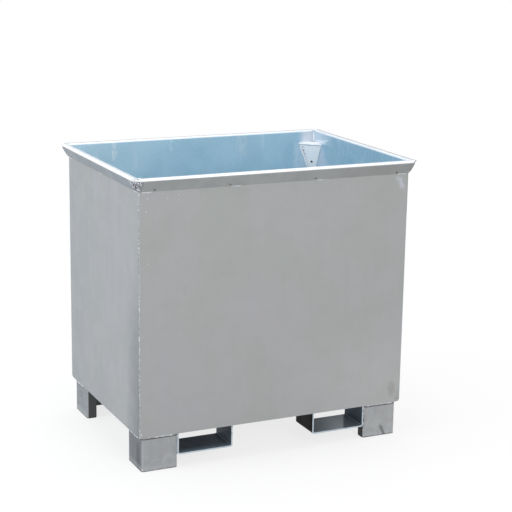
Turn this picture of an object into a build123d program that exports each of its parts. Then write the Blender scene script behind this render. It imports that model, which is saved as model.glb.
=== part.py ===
from build123d import *
import math
import os

# Body: two bent wall sheets round a floor plate
body_width = 1200.0  # outside of the left wall to outside of the right wall
body_depth = 865.0  # outside of the front wall to outside of the rear wall
body_height = 1057.0  # lower edge of the walls to the top of the rim
sheet = 3.0  # thickness of the wall sheets
sheet_bend = 8.0  # outside radius of every bend in the wall sheets
relief_run = 22.0  # trimmed lower end of a bent corner, along each wall
relief_rise = 10.0  # the same trim, up the corner
floor_thickness = 4.0
corner_snip = 6.0  # drain cut off the corners of the floor and the stacking seats

# Rim: the top of each wall folded outward and back to the wall
rim_overhang = 29.0  # outside of the wall to the tip of the rim
rim_drop = 54.0  # top of the rim to the free edge of the fold
rim_return_gap = 0.4  # slack between the free edge of the fold and the wall
rim_corner_cut = 35.0  # length cut off each rim tip at the two welded corners
bent_corner_cut = 22.0  # the same at the two bent corners
corner_plate_thickness = 4.0
vent_diameter = 7.0  # zinc vent through the fold beside each stitch weld
vent_rise = 8.0  # vent centre above the free edge, measured along the fold

# Stacking seats in the four inner corners
seat_leg = 80.0  # side of the triangular seat plate along each wall
seat_thickness = 8.0
seat_drop = 54.0  # top of the rim to the top of the seat
gusset_leg = 75.0  # side of the gusset along each wall at its upper edge
gusset_height = 178.0
gusset_thickness = 4.0
gusset_vent_diameter = 12.0
gusset_vent_drop = 85.0  # vent centre below the underside of the seat

# Feet: open folded corners that drop onto the seats of the bin below
foot_height = 150.0
foot_side = 155.0  # outside length of both full faces
foot_lip = 43.0  # returned edge at the end of both faces
foot_thickness = 5.0
foot_bend = 10.0  # outside radius of the foot's bends
foot_inset = 15.0  # outside of the wall to the outside of the foot
lip_corner_radius = 5.0  # rounded lower corner of each lip

# Fork loops: four short channels under the floor
loop_width = 245.0  # outside width
loop_height = 98.0  # underside of the floor to underside of the loop
loop_length = 155.0
loop_thickness = 6.0
loop_bend = 10.0  # outside radius of the loop's bends
loop_inset = 15.0  # outside of the wall to the end of the loop, flush with the foot

# Weld metal
stitch_length = 45.0
stitch_leg = 5.0  # reach of a stitch weld down the wall
stitch_crown = 1.0  # swell of a stitch weld over its flat chord
stitches_wide = 4  # stitch welds along the front and rear rim
stitches_deep = 3  # stitch welds along the side rims
vent_margin = 7.0  # end of a stitch weld to the centre of its vent
plate_bead = 3.5  # radius of the beads up the sides of the plates in the welded corners of the rim
plate_top_bead = 5.0  # radius of the bead over the top of those plates
ground_bead = 1.5  # radius of all beads on the plates in the bent corners
seat_bead = 4.0  # side of the bevelled groove along each wall that the seat's beads fill flush
gusset_bead = 3.0
foot_bead = 8.0
loop_bead = 6.0
floor_bead = 4.0
seam_bead = 4.0  # radius of the fillet bead inside a welded corner
bead_end_gap = 12.0  # bare length left at the end of a bead
bead_clearance = 0.3  # play between the end of a bead and the piece that it runs up to

# Places worked out from the sizes above
half_width = body_width / 2
half_depth = body_depth / 2
wall_bottom = foot_height
rim_top = wall_bottom + body_height
rim_root = rim_top - rim_drop
floor_top = wall_bottom + floor_thickness
seat_top = rim_top - seat_drop
seat_underside = seat_top - seat_thickness
foot_reach = foot_inset + foot_side
loop_top = wall_bottom
loop_bottom = wall_bottom - loop_height
loop_end = foot_reach + loop_width
inner_corner = Vector(-half_width + sheet, -half_depth + sheet)
outer_corner = Vector(-half_width, -half_depth)

UP = Vector(0, 0, 1)
FRONT = Vector(0, -1, 0)
REAR = Vector(0, 1, 0)
LEFT = Vector(-1, 0, 0)
RIGHT = Vector(1, 0, 0)

# Slope of the fold: a line from its free edge that touches the round of the tip
free_edge_reach = sheet + rim_return_gap
tip_run = rim_overhang - sheet_bend - free_edge_reach
tip_rise = rim_drop - sheet_bend
tip_distance = math.hypot(tip_run, tip_rise)
fold_angle = math.atan2(tip_run, tip_rise) + math.asin(sheet_bend / tip_distance)
sharp_tip = free_edge_reach + rim_drop * math.tan(fold_angle)
free_edge_inner = (
    free_edge_reach - sheet * math.cos(fold_angle),
    rim_root + sheet * math.sin(fold_angle),
)

# Where beads start, clear of the plates in the corners
stitch_start = free_edge_reach + 2 * corner_plate_thickness + bead_clearance
floor_bead_start = corner_snip + floor_bead


def folded_outline(points, bend, thickness, side):
    """Section of a folded sheet whose outside face follows the given points."""
    path = FilletPolyline(*points, radius=bend)
    return make_face(offset(path, thickness, side=side))


def largest(piece):
    """The biggest solid of a cut piece, without its slivers."""
    return max(piece.solids(), key=lambda solid: solid.volume)


def through_hole(diameter, thickness):
    """Cutter for a round hole, centred on one face of a sheet and long enough to pass the other."""
    return Cylinder(diameter / 2, 3 * thickness)


def side_plane(outward):
    """Plane on the outside of a wall: local x points outward and local y points up."""
    distance = half_width if outward.X else half_depth
    return Plane(outward * distance, x_dir=outward, z_dir=outward.cross(UP))


def side_length(outward):
    """Outside length of the wall that faces outward."""
    return body_depth if outward.X else body_width


def wall_corners(outward):
    """Both corners of a wall, each with the direction from the middle of the wall to it."""
    plane = side_plane(outward)
    corners = []
    for turn in (-1, 1):
        along = plane.z_dir * turn
        corners.append((plane.origin + along * (side_length(outward) / 2), along))
    return corners


def mitred_run(section, outward):
    """A section drawn along one wall and mitred at both corners."""
    reach = side_length(outward) / 2 + sharp_tip
    run = extrude(side_plane(outward) * section, amount=reach, both=True)
    for corner, along in wall_corners(outward):
        run = split(run, bisect_by=Plane(corner, z_dir=outward - along), keep=Keep.TOP)
    return run


def diagonal_of(corner):
    """Level direction out through a corner of the walls, halfway between them."""
    return Vector(math.copysign(1, corner.X), math.copysign(1, corner.Y)).normalized()


def is_welded(corner):
    """Whether two sheets meet at a corner of the walls, which is bent otherwise."""
    return corner.X * corner.Y > 0


def corner_lean(corner):
    """Reach of the cut rim past a corner of the walls, at the top of the rim."""
    cut = rim_corner_cut if is_welded(corner) else bent_corner_cut
    return (rim_overhang - cut / 2) * math.sqrt(2)


def rim_corner_plane(corner, inset=0.0):
    """Sloping plane that cuts the rim's tips off at a corner, moved inward by the inset."""
    normal = (diagonal_of(corner) * rim_drop - UP * corner_lean(corner)).normalized()
    apex = Vector(corner.X, corner.Y, rim_root)
    return Plane(apex - normal * inset, z_dir=normal)


def stitch_centres(outward):
    """Middle of each stitch weld, measured along a wall from the middle of the wall."""
    count = stitches_deep if outward.X else stitches_wide
    span = side_length(outward) - 2 * stitch_start - stitch_length
    return [span * (index / (count - 1) - 0.5) for index in range(count)]


def rim_vents(outward):
    """One zinc vent beside each stitch weld, square to the sloping face of the fold."""
    plane = side_plane(outward)
    start = Vector(free_edge_reach, rim_root)
    centre = start + Vector(math.sin(fold_angle), math.cos(fold_angle)) * vent_rise
    offset_along = stitch_length / 2 + vent_margin
    vents = []
    for place in stitch_centres(outward):
        turn = -1 if place == max(stitch_centres(outward)) else 1
        local = Vector(centre.X, centre.Y, place + turn * offset_along)
        normal = plane.x_dir * math.cos(fold_angle) - UP * math.sin(fold_angle)
        place_on_fold = Plane(plane.from_local_coords(local), z_dir=normal)
        vents.append(place_on_fold * through_hole(vent_diameter, sheet))
    return vents


def rim_fold(outward):
    """The folded top of one wall, with its tips cut off at the corners and its vents."""
    section = folded_outline(
        [(-sheet, rim_root), (-sheet, rim_top), (sharp_tip, rim_top), (free_edge_reach, rim_root)],
        sheet_bend,
        sheet,
        Side.RIGHT,
    )
    fold = mitred_run(section, outward)
    for corner, _ in wall_corners(outward):
        fold = split(fold, bisect_by=rim_corner_plane(corner), keep=Keep.BOTTOM)
    for vent in rim_vents(outward):
        fold -= vent
    return fold


def front_right_wall():
    """Front and right wall, bent from one sheet, with the folded rim on both."""
    plan = folded_outline(
        [
            (-half_width + sheet, -half_depth),
            (half_width, -half_depth),
            (half_width, half_depth - sheet),
        ],
        sheet_bend,
        sheet,
        Side.LEFT,
    )
    wall = Pos(Z=wall_bottom) * extrude(plan, amount=rim_root - wall_bottom)
    slope = Vector(relief_rise, -relief_rise, -relief_run).normalized()
    relief_foot = Vector(half_width - relief_run, -half_depth, wall_bottom)
    wall = split(wall, bisect_by=Plane(relief_foot, z_dir=slope), keep=Keep.BOTTOM)
    return wall + rim_fold(FRONT) + rim_fold(RIGHT)


def snipped_triangle(leg):
    """Triangle in the front left corner, with two sides on the walls and its tip snipped."""
    corners = [(corner_snip, 0), (leg, 0), (0, leg), (0, corner_snip)]
    return make_face(Polyline(*corners, close=True))


def floor_plate():
    """Flat floor between the walls, with a drain cut at each corner."""
    plate = Rectangle(body_width - 2 * sheet, body_depth - 2 * sheet)
    plate = chamfer(plate.vertices(), length=corner_snip)
    return Pos(Z=wall_bottom) * extrude(plate, amount=floor_thickness)


def front_corner(side):
    """Outside corner of the walls at the front, on one side."""
    return side * half_width + FRONT * half_depth


def rim_corner_plate(side, walls):
    """Plate inside a cut front corner of the rim, under the flat top and between the two slopes."""
    envelope = make_face(
        Polyline((0, rim_root), (0, rim_top), (sharp_tip, rim_top), (free_edge_reach, rim_root), close=True)
    )
    plate = mitred_run(envelope, FRONT) + mitred_run(envelope, side)
    plate = split(plate, bisect_by=rim_corner_plane(front_corner(side)), keep=Keep.BOTTOM)
    inner_face = rim_corner_plane(front_corner(side), corner_plate_thickness)
    plate = split(plate, bisect_by=inner_face, keep=Keep.TOP)
    return largest(plate - walls)


def seat_plate():
    """Level seat in the front left inner corner, bevelled along both walls for its welds."""
    place = Pos(inner_corner.X, inner_corner.Y, seat_underside)
    plate = place * extrude(snipped_triangle(seat_leg), amount=seat_thickness)
    bevel_foot = Vector(inner_corner.X, inner_corner.Y, seat_top - seat_bead)
    for outward in (FRONT, LEFT):
        plate = split(plate, bisect_by=Plane(bevel_foot, z_dir=UP + outward), keep=Keep.BOTTOM)
    return plate


def gusset_plane():
    """Sloping face of the gusset, seen from inside the bin."""
    normal = Vector(gusset_height, gusset_height, -gusset_leg).normalized()
    origin = Vector(inner_corner.X, inner_corner.Y, seat_underside - gusset_height)
    return Plane(origin, z_dir=normal)


def gusset_point(drop):
    """Middle of the gusset's face at a drop below the seat."""
    leg = gusset_leg * (1 - drop / gusset_height)
    return Vector(inner_corner.X + leg / 2, inner_corner.Y + leg / 2, seat_underside - drop)


def seat_gusset():
    """Sloping plate from the front edge of the seat down into the corner, with a vent."""
    space = extrude(snipped_triangle(seat_leg), amount=-gusset_height)
    plate = Pos(inner_corner.X, inner_corner.Y, seat_underside) * space
    face = gusset_plane()
    back = Plane(face.origin - face.z_dir * gusset_thickness, z_dir=face.z_dir)
    plate = split(plate, bisect_by=face, keep=Keep.BOTTOM)
    plate = split(plate, bisect_by=back, keep=Keep.TOP)
    vent_place = Plane(gusset_point(gusset_vent_drop), z_dir=face.z_dir)
    return plate - vent_place * through_hole(gusset_vent_diameter, gusset_thickness)


def foot():
    """Front left foot: two full faces with a returned lip at the end of each."""
    outline = folded_outline(
        [(foot_lip, foot_side), (0, foot_side), (0, 0), (foot_side, 0), (foot_side, foot_lip)],
        foot_bend,
        foot_thickness,
        Side.LEFT,
    )
    body = extrude(outline, amount=foot_height)
    ends = [
        edge
        for edge in body.edges().filter_by(GeomType.LINE)
        if edge.center().Z < foot_thickness
        and math.isclose(edge.length, foot_thickness, rel_tol=0.01)
        and math.isclose(max(edge.center().X, edge.center().Y), foot_side - foot_thickness / 2)
    ]
    body = fillet(ends, radius=lip_corner_radius)
    return Pos(-half_width + foot_inset, -half_depth + foot_inset) * body


def fork_loop():
    """Front left fork loop: a channel open towards the floor, beside the foot."""
    section = folded_outline(
        [(foot_reach, loop_top), (foot_reach, loop_bottom), (loop_end, loop_bottom), (loop_end, loop_top)],
        loop_bend,
        loop_thickness,
        Side.LEFT,
    )
    front = Plane((-half_width, -half_depth + loop_inset, 0), x_dir=RIGHT, z_dir=FRONT)
    return extrude(front * section, amount=-loop_length)


def bead_between(start, end, radius):
    """Round bar of weld metal from one point to another."""
    direction = end - start
    return Plane(start, z_dir=direction) * Cylinder(
        radius, direction.length, align=(Align.CENTER, Align.CENTER, Align.MIN)
    )


def corner_box(low, high):
    """Box between two opposite corners."""
    size = high - low
    return Pos(low + size / 2) * Box(size.X, size.Y, size.Z)


def seam_weld():
    """Weld metal in the open front left corner, with a fillet bead inside the bin."""
    outside = Cylinder(sheet, rim_root - wall_bottom, align=(Align.CENTER, Align.CENTER, Align.MIN))
    outside = Pos(inner_corner.X, inner_corner.Y, wall_bottom) * outside
    limit = corner_box(
        Vector(outer_corner.X, outer_corner.Y, wall_bottom), Vector(inner_corner.X, inner_corner.Y, rim_root)
    )
    beads = [outside & limit]
    lower = (floor_top + bead_clearance, seat_underside - gusset_height - bead_clearance)
    upper = (seat_top + bead_clearance, rim_top - sheet_bend)
    for bottom, top in (lower, upper):
        start = Vector(inner_corner.X, inner_corner.Y, bottom)
        bead = bead_between(start, Vector(start.X, start.Y, top), seam_bead)
        reach = Vector(start.X + seam_bead, start.Y + seam_bead, top)
        beads.append(bead & corner_box(start, reach))
    return beads


def rim_stitch_welds(outward):
    """Stitch welds between the free edge of the fold and the wall."""
    wall_low = Vector(0, rim_root - stitch_leg)
    wall_high = Vector(0, free_edge_inner[1])
    edge_outer = Vector(free_edge_reach, rim_root)
    chord = edge_outer - wall_low
    swell = Vector(chord.Y, -chord.X).normalized() * stitch_crown
    outline = [
        Line(wall_high, wall_low),
        ThreePointArc(wall_low, wall_low + chord / 2 + swell, edge_outer),
        Line(edge_outer, free_edge_inner),
        Line(free_edge_inner, wall_high),
    ]
    section = make_face(outline)
    plane = side_plane(outward)
    stitches = []
    for place in stitch_centres(outward):
        start = plane.offset(place - stitch_length / 2)
        stitches.append(extrude(start * section, amount=stitch_length))
    return stitches


def rim_corner_point(corner, height, inset, turn):
    """Point on the cut face of a rim corner, an inset from the edge of the fold."""
    rise = height - rim_root
    out = min(rim_overhang, free_edge_reach + rise * math.tan(fold_angle))
    lean = corner_lean(corner) * rise / rim_drop
    half = math.sqrt(2) * out - lean - inset
    diagonal = diagonal_of(corner)
    return corner + UP * height + diagonal * lean + diagonal.cross(UP) * (turn * half)


def rim_corner_welds(side):
    """Beads up both sides and over the top of the rim corner plate at a front corner."""
    corner = front_corner(side)
    side_bead, top_bead = (plate_bead, plate_top_bead) if is_welded(corner) else (ground_bead, ground_bead)
    runs = []
    for turn in (-1, 1):
        low = rim_corner_point(corner, rim_root + sheet_bend, side_bead, turn)
        high = rim_corner_point(corner, rim_top - 2 * sheet_bend, side_bead, turn)
        runs.append((low, high, side_bead))
    top_height = rim_top - top_bead
    top_ends = [rim_corner_point(corner, top_height, top_bead, turn) for turn in (-1, 1)]
    runs.append((*top_ends, top_bead))
    cut_face = rim_corner_plane(corner)
    return [split(bead_between(*run), bisect_by=cut_face, keep=Keep.TOP) for run in runs]


def seat_welds():
    """Beads along the seat and down the gusset, on both walls of the front left corner."""
    corner = Vector(inner_corner.X, inner_corner.Y, seat_top)
    gusset_low = Vector(inner_corner.X, inner_corner.Y, seat_underside - gusset_height)
    below = corner_box(gusset_low, corner + Vector(seat_leg, seat_leg, -seat_thickness))
    beads = []
    for along, inward in ((RIGHT, REAR), (REAR, RIGHT)):
        start = corner + along * bead_end_gap
        groove = Polyline(start, start + inward * seat_bead, start - UP * seat_bead, close=True)
        beads.append(extrude(make_face(groove), amount=seat_leg - 2 * bead_end_gap, dir=along))
        top = Vector(inner_corner.X, inner_corner.Y, seat_underside) + along * gusset_leg
        run = (top - gusset_low).normalized()
        side_bead = bead_between(gusset_low + run * bead_end_gap, top - run * bead_end_gap, gusset_bead)
        side_bead = split(side_bead, bisect_by=gusset_plane(), keep=Keep.TOP)
        beads.append(side_bead & below)
    return beads


def foot_welds():
    """Beads under the floor along both full faces of the front left foot."""
    corner = Vector(-half_width + foot_inset, -half_depth + foot_inset, wall_bottom)
    beads = []
    for along, outward in ((RIGHT, FRONT), (REAR, LEFT)):
        start = corner + along * bead_end_gap
        end = corner + along * (foot_side - bead_end_gap)
        bead = bead_between(start, end, foot_bead)
        bead = split(bead, bisect_by=Plane(corner, z_dir=UP), keep=Keep.BOTTOM)
        beads.append(split(bead, bisect_by=Plane(corner, z_dir=outward), keep=Keep.TOP))
    return beads


def fork_loop_welds(neighbours):
    """Bead along the loop's free side, and a bead in the groove between the loop and the foot."""
    free_side = -half_width + loop_end
    front = -half_depth + loop_inset
    start = Vector(free_side, front + bead_end_gap, loop_top)
    end = Vector(free_side, front + loop_length - bead_end_gap, loop_top)
    long_bead = bead_between(start, end, loop_bead)
    limit = corner_box(start + Vector(0, 0, -loop_bead), end + Vector(loop_bead, 0, 0))
    groove = Vector(-half_width + foot_reach, -half_depth + foot_inset + loop_thickness / 2, 0)
    low = groove + UP * (loop_bottom + loop_bend)
    high = groove + UP * (wall_bottom - foot_bead - bead_clearance)
    groove_bead = bead_between(low, high, loop_thickness) - neighbours
    left_of_loop = split(groove_bead, bisect_by=Plane(low, z_dir=LEFT), keep=Keep.TOP)
    return [long_bead & limit, largest(left_of_loop)]


def floor_welds():
    """Fillet beads round the inside of the floor."""
    beads = []
    for outward in (FRONT, REAR, LEFT, RIGHT):
        plane = side_plane(outward)
        reach = side_length(outward) / 2 - sheet - floor_bead_start
        edge = plane.origin - outward * sheet + UP * floor_top
        bead = bead_between(edge - plane.z_dir * reach, edge + plane.z_dir * reach, floor_bead)
        bead = split(bead, bisect_by=Plane(edge, z_dir=outward), keep=Keep.BOTTOM)
        beads.append(split(bead, bisect_by=Plane(edge, z_dir=UP), keep=Keep.TOP))
    return beads


def four_corners(piece):
    """A front left piece and its mirror images, by corner."""
    front_right = mirror(piece, about=Plane.YZ)
    return {
        "front_left": piece,
        "front_right": front_right,
        "rear_left": mirror(piece, about=Plane.XZ),
        "rear_right": mirror(front_right, about=Plane.XZ),
    }


def all_corners(pieces):
    """Front left pieces and all their mirror images in one group."""
    return Compound(children=[copy for piece in pieces for copy in four_corners(piece).values()])


def opposite(piece):
    """A piece turned half round, from a front corner to the rear corner across from it."""
    return Rot(Z=180) * piece


def build():
    """Every node of the bin, by name."""
    front_right = front_right_wall()
    rear_left = opposite(front_right)
    seam = seam_weld()
    corner_beads = rim_corner_welds(LEFT) + rim_corner_welds(RIGHT)
    loop = fork_loop()
    single_foot = foot()
    nodes = {
        "front_right_wall": front_right,
        "rear_left_wall": rear_left,
        "floor_plate": floor_plate(),
        "front_left_seam_weld": Compound(children=seam),
        "rear_right_seam_weld": Compound(children=[opposite(bead) for bead in seam]),
        "rim_corner_welds": Compound(children=corner_beads + [opposite(bead) for bead in corner_beads]),
        "seat_welds": all_corners(seat_welds()),
        "foot_welds": all_corners(foot_welds()),
        "fork_loop_welds": all_corners(fork_loop_welds(single_foot + loop)),
        "floor_welds": Compound(children=floor_welds()),
    }
    stitches = [stitch for outward in (FRONT, REAR, LEFT, RIGHT) for stitch in rim_stitch_welds(outward)]
    nodes["rim_stitch_welds"] = Compound(children=stitches)
    plate_corners = [(LEFT, "front_left", "rear_right"), (RIGHT, "front_right", "rear_left")]
    for side, front_name, rear_name in plate_corners:
        plate = rim_corner_plate(side, front_right + rear_left)
        nodes[f"{front_name}_rim_corner_plate"] = plate
        nodes[f"{rear_name}_rim_corner_plate"] = opposite(plate)
    corner_pieces = {
        "stacking_seat": seat_plate(),
        "seat_gusset": seat_gusset(),
        "foot": single_foot,
        "fork_loop": loop,
    }
    for name, piece in corner_pieces.items():
        for corner, copy in four_corners(piece).items():
            nodes[f"{corner}_{name}"] = copy
    return nodes


os.makedirs("parts", exist_ok=True)
for node, shape in build().items():
    export_step(shape, f"parts/{node}.step")
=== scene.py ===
import math
import random

import bmesh
import bpy
from mathutils import Matrix, Vector


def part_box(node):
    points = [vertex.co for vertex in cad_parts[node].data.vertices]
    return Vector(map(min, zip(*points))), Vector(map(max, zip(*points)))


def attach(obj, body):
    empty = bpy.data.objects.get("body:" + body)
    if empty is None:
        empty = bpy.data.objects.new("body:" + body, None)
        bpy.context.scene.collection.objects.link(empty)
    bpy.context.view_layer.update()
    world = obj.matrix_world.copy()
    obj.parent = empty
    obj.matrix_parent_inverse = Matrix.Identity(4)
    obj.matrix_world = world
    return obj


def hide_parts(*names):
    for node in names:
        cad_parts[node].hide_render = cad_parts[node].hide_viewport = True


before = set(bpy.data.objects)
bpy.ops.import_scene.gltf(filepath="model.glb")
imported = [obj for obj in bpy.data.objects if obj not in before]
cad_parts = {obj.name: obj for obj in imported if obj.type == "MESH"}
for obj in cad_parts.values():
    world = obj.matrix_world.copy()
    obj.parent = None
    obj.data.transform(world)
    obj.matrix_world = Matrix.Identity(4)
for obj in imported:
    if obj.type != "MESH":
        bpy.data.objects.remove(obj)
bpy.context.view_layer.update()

# Places on the bin, in metres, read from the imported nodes
OUTER = -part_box("front_left_seam_weld")[0]  # half sizes outside the walls
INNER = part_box("floor_plate")[1]  # half sizes inside the walls
SHEET = OUTER.x - INNER.x
RIM_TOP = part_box("front_right_wall")[1].z
RIM_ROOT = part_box("front_left_rim_corner_plate")[0].z
WALL_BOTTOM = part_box("floor_plate")[0].z
SEAT_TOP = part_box("front_left_stacking_seat")[1].z
SEAT_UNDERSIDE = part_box("front_left_stacking_seat")[0].z
GUSSET_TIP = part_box("front_left_seat_gusset")[0].z
GUSSET_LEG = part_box("front_left_seat_gusset")[1].x + INNER.x
FOOT_INSET = OUTER.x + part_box("front_left_foot")[0].x
FOOT_FRONT = OUTER.y - FOOT_INSET  # where the feet and the fork loops end
LOOP_MIDDLE = (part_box("front_right_fork_loop")[0].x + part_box("front_right_fork_loop")[1].x) / 2
UP = Vector((0, 0, 1))
DOWN = -UP

# Beads of weld metal, in metres
RINGS_A_RIPPLE = 4
BEAD_SIDES = 6
BEAD_SINK = 0.0003  # how far a bead sinks into what it joins
BEAD_END = 0.35  # size of a bead at both ends, as a share of its middle
RIPPLE_SIZES = (0.84, 1.1)  # smallest and largest, as shares of the plain bead
FOOT_BEADS = (1.15, 1.6)  # sizes over the feet, along x and y, as shares of the plain beads
SEAT_BEAD = 0.0024  # radius along the seats, and down the gussets on the side walls
SEAT_FRONT_BEAD = 0.004  # radius under the front edge of a seat
LONG_WALL_BEAD = 0.0045  # radius down the gussets on the long walls
LOOP_BEAD = 0.004  # radius of the upright beads between loops and feet
RIM_TOP_BEAD = 0.0055  # radius over the plate in a welded rim corner
RIM_TOP_OVERHANG = 0.005  # past both ends of the plain bead
RIM_SIDE_BEAD = 0.005  # radius down the sides of that plate
RIM_SIDE_SHIFT = 0.003  # away from the corner
RIM_GROUND_BEAD = 0.0014  # radius in a bent rim corner

# Weld fills and drops of zinc, in metres
RIM_FILL = 0.016  # along each wall at the inner edge of a welded rim corner
RIM_FILL_DEPTH = 0.009
RIM_FILL_DROP = 0.0004  # from the top of the rim to that of the fill
RIM_FILL_HOLLOW = 0.12  # dip of its front, as a share of the way to the corner
RIM_FILL_FADE = 0.7  # power by which the front draws back downward
RIM_FILL_TIP = 0.05  # share of the front that is left at the lower end
RIM_FILL_ROOT = 1.6  # reach into the corner, as a share of the way to it
DROP_RINGS = 4
DROP_SIDES = 10
DROP_COVER = 0.96  # share of a quarter turn over which a drop closes
DROP_SINK = 0.1  # share of a drop's height that lies in the surface
WALL_DROPS = 14  # scattered over the sides and the rear
WALL_DROP_RADII = (0.0015, 0.0035)
WALL_DROP_MARGIN = 0.05  # from the rim and from the lower edge
FRONT_PIMPLES = [  # x, z and radius
    (-0.563, 1.125, 0.0026),
    (-0.480, 1.1215, 0.0022),
    (-0.434, 1.134, 0.002),
    (-0.569, 1.075, 0.0026),
    (-0.562, 0.866, 0.0024),
]
EDGE_DROPS = [  # x, y, z and radius
    (0.4325, -0.4170, 0.0346, 0.0032),
    (-0.5815, -0.4168, 0.009, 0.0032),
    (-0.5923, -0.4325, 0.1666, 0.003),
]

# Painted marks, as places and sizes in metres and shares from 0 to 1
REAR_SCUFFS = [  # x, lower end, half width and share
    (-0.390, 1.11, 0.016, 0.7),
    (-0.123, 1.135, 0.010, 0.45),
    (0.225, 1.09, 0.035, 0.3),
    (0.329, 1.12, 0.012, 0.45),
]
SCUFF_FADE = 0.03  # over which a scuff fades at its lower end
FRONT_STAINS = [  # x, z, half width, half height and share
    (0.555, 0.214, 0.022, 0.045, 0.6),
    (0.594, 0.168, 0.026, 0.04, 0.65),
]
BLOOM_MIDDLE = 0.036  # of the pale bloom under the rim, from a bent corner
BLOOM_DEPTH = 0.045  # of that middle, below the rim
BLOOM_LEAN = 0.4  # to the corner, for each metre down
SMEAR_LINE = 0.035  # of the rim's stain, in from the corner of a wall's box by x and y together
WEDGE_LENGTH = 0.105  # painted light in a bright wedge on the side wall beyond a seat, from the corner
WEDGE_END_SLANT = 2.0  # along the wall, for each metre up
WEDGE_HEIGHT = 0.008  # of the wedge's top over the seat, in the corner
WEDGE_CLIMB = 0.155  # for each metre along the wall
SCRAPE_FOOT = 0.536  # x of the scrape on the front right foot, at the ground
SCRAPE_LEAN = 0.45  # to the left, for each metre up
LOOP_SHADE = 0.0189  # from the middle of the front right loop to its shaded side, at the open end
LOOP_SHADE_SLANT = 0.55  # to the right, for each metre inward

# Stage and light
BIN_MIDDLE = Vector((0, 0, 0.6))
SKY_AS_LIGHT = 0.55
SKY_AS_SEEN = 1.0
SHADOW_NEAR = 0.7  # metres from the bin's middle, where its shadow starts to fade
SHADOW_FAR = 2.2
FLOOR_WHITE = 0.78  # share of plain white near the bin


def rgb(red, green, blue):
    """Linear colour with alpha, from display values up to 255."""
    def linear(value):
        share = value / 255
        return share / 12.92 if share <= 0.04045 else ((share + 0.055) / 1.055) ** 2.4

    return (linear(red), linear(green), linear(blue), 1.0)


# colour of painted shade in closed hollows: behind the gussets and inside the folded rim
PAINTED_SHADE = rgb(40, 42, 45)


class Graph:
    """Node tree of one material, with the sockets that its patterns start from."""

    def __init__(self, name):
        self.material = bpy.data.materials.new(name)
        self.material.use_nodes = True
        self.tree = self.material.node_tree
        self.tree.nodes.clear()
        self.place = self.add("ShaderNodeTexCoord").outputs["Object"]
        self.normal = self.add("ShaderNodeNewGeometry").outputs["Normal"]
        place = self.add("ShaderNodeSeparateXYZ", {0: self.place}).outputs
        normal = self.add("ShaderNodeSeparateXYZ", {0: self.normal}).outputs
        self.x, self.y, self.z = place[0], place[1], place[2]
        self.nx, self.ny, self.nz = normal[0], normal[1], normal[2]

    def add(self, kind, inputs=None, **settings):
        """A node with its settings, and with its inputs linked or set."""
        made = self.tree.nodes.new(kind)
        for name, value in settings.items():
            setattr(made, name, value)
        for name, value in (inputs or {}).items():
            if isinstance(value, bpy.types.NodeSocket):
                self.tree.links.new(value, made.inputs[name])
            else:
                made.inputs[name].default_value = value
        return made

    def math(self, operation, first, second=0.0):
        return self.add("ShaderNodeMath", {0: first, 1: second}, operation=operation).outputs[0]

    def plus(self, first, second):
        return self.math("ADD", first, second)

    def minus(self, first, second):
        return self.math("SUBTRACT", first, second)

    def times(self, first, *others):
        for other in others:
            first = self.math("MULTIPLY", first, other)
        return first

    def size(self, value):
        return self.math("ABSOLUTE", value)

    def most(self, first, second):
        return self.math("MAXIMUM", first, second)

    def rest(self, share):
        return self.minus(1.0, share)

    def span(self, value, start, end, low=0.0, high=1.0):
        """Smooth step of a value between two limits."""
        inputs = {"Value": value, "From Min": start, "From Max": end, "To Min": low, "To Max": high}
        made = self.add("ShaderNodeMapRange", inputs, interpolation_type="SMOOTHSTEP")
        return made.outputs["Result"]

    def mix(self, factor, first, second, mode="MIX"):
        """Colour between two colours."""
        inputs = {0: factor, 6: first, 7: second}
        return self.add("ShaderNodeMix", inputs, data_type="RGBA", blend_type=mode).outputs[2]

    def noise(self, scale, detail=3.0, stretch=None):
        """Soft random pattern, squeezed by its own factor along each axis."""
        vector = self.place
        if stretch:
            scaled = self.add("ShaderNodeVectorMath", {0: self.place, 1: stretch}, operation="MULTIPLY")
            vector = scaled.outputs[0]
        inputs = {"Vector": vector, "Scale": scale, "Detail": detail, "Roughness": 0.55}
        return self.add("ShaderNodeTexNoise", inputs).outputs["Fac"]

    def wander(self, scale, width):
        """Soft random shift, which makes an edge ragged."""
        return self.times(self.minus(self.noise(scale), 0.5), width)

    def outward(self):
        """How far a face looks away from the bin: 1 on the outside of a wall, -1 on its inside."""
        across = self.times(self.nx, self.math("SIGN", self.x))
        along = self.times(self.ny, self.math("SIGN", self.y))
        return self.plus(across, along)

    def long_wall(self):
        """1 on faces that look to the front or the rear."""
        return self.span(self.size(self.ny), 0.6, 0.9)

    def side_wall(self):
        """1 on faces that look to the left or the right."""
        return self.span(self.size(self.nx), 0.6, 0.9)

    def facing_front(self):
        return self.span(self.ny, -0.6, -0.9)

    def front_half(self):
        return self.span(self.y, 0.0, -0.2)

    def right_half(self):
        return self.span(self.x, -0.05, 0.05)

    def finish(self, colour, roughness, metallic, height, bump, specular):
        """Shader with its colour, roughness and height all from patterns."""
        lifted = self.add("ShaderNodeBump", {"Height": height, "Strength": bump, "Distance": 0.001})
        inputs = {
            "Base Color": colour,
            "Roughness": roughness,
            "Metallic": metallic,
            "Specular IOR Level": specular,
            "Normal": lifted.outputs["Normal"],
        }
        shader = self.add("ShaderNodeBsdfPrincipled", inputs)
        output = self.add("ShaderNodeOutputMaterial")
        self.tree.links.new(shader.outputs["BSDF"], output.inputs["Surface"])
        return self.material


# Where a point lies on the bin


def inside_of_walls(graph):
    """1 on the faces that look into the hold, and also on the round outside of the two bends."""
    across = graph.math("LESS_THAN", graph.size(graph.x), OUTER.x - SHEET / 2)
    along = graph.math("LESS_THAN", graph.size(graph.y), OUTER.y - SHEET / 2)
    return graph.times(across, along)


def welded_corner(graph):
    """1 in the two quarters of the bin that end in a welded corner, 0 in those with a bent one."""
    return graph.math("GREATER_THAN", graph.times(graph.x, graph.y), 0.0)


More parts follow.
